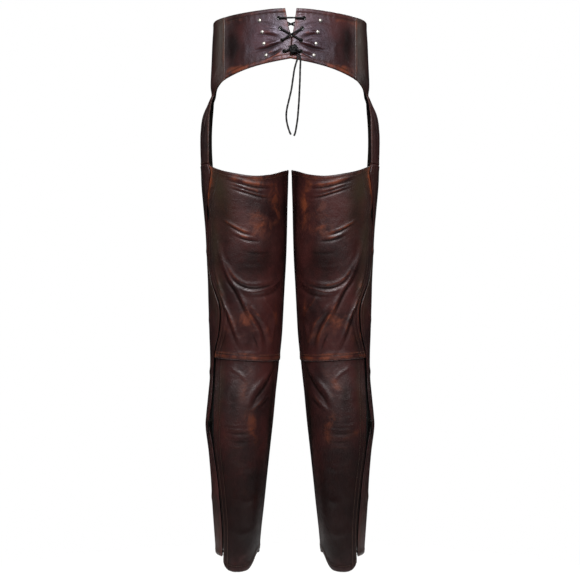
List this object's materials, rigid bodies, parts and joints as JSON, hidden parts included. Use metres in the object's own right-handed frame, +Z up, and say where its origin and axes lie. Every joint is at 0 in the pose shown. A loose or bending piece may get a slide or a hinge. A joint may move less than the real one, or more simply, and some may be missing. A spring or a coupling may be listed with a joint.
{
  "type": "leather chaps",
  "caption": "Leather chaps held open in their worn form: laced back yoke, narrow hip sides, long side-zipped legs with lapped knee seams, and a buckled front belt.",
  "frame": {"origin": "middle of the waist opening at belt height, where the wearer holds the part up", "axes": "+Z up along the body, +Y the wearer's front, +X the wearer's right; the laced back yoke faces -Y"},
  "size_m": [0.346, 0.2407, 1.064],
  "materials": {
    "brown_leather": "waxed cowhide, dark brown with rust rub-off at edges and folds",
    "belt_leather": "two-ply belt leather, dark brown, burnished edges",
    "zip_tape": "black woven twill tape",
    "lace_cord": "round braided black cord",
    "nickel": "polished nickel plate",
    "dark_metal": "dark gunmetal plate, worn",
    "buckle_metal": "antique brass, rubbed bright on the edges"
  },
  "bodies": {
    "root": {"back_calf_left": "brown_leather", "back_calf_right": "brown_leather", "back_thigh_left": "brown_leather", "back_thigh_right": "brown_leather", "back_yoke_left": "brown_leather", "back_yoke_right": "brown_leather", "belt_keeper": "belt_leather", "belt_strap_left": "belt_leather", "belt_strap_right": "belt_leather", "buckle_frame": "buckle_metal", "buckle_prong": "buckle_metal", "eyelet_left_1": "dark_metal", "eyelet_left_2": "dark_metal", "eyelet_left_3": "dark_metal", "eyelet_left_4": "dark_metal", "eyelet_right_1": "dark_metal", "eyelet_right_2": "dark_metal", "eyelet_right_3": "dark_metal", "eyelet_right_4": "dark_metal", "front_leg_left": "brown_leather", "front_leg_right": "brown_leather", "hip_side_left": "brown_leather", "hip_side_right": "brown_leather", "lace_crossing": "lace_cord", "lace_knot": "lace_cord", "lace_tail_left": "lace_cord", "lace_tail_right": "lace_cord", "stud_left_1": "nickel", "stud_left_2": "nickel", "stud_left_3": "nickel", "stud_left_4": "nickel", "stud_right_1": "nickel", "stud_right_2": "nickel", "stud_right_3": "nickel", "stud_right_4": "nickel", "zip_slider_left": "dark_metal", "zip_slider_right": "dark_metal", "zip_tape_back_left": "zip_tape", "zip_tape_back_right": "zip_tape", "zip_tape_front_left": "zip_tape", "zip_tape_front_right": "zip_tape"},
    "pull_left": {"zip_pull_left": "dark_metal"},
    "pull_right": {"zip_pull_right": "dark_metal"}
  },
  "joints": [
    {"name": "zip_pull_left_hinge", "type": "hinge", "parent": "root", "child": "pull_left", "pos_m": [-0.15617, -0.03567, -0.745], "axis": [-0.5225, 0.8526, 0], "range_deg": [0, 165]},
    {"name": "zip_pull_right_hinge", "type": "hinge", "parent": "root", "child": "pull_right", "pos_m": [0.15617, -0.03567, -0.745], "axis": [-0.5225, -0.8526, 0], "range_deg": [0, 165]}
  ]
}
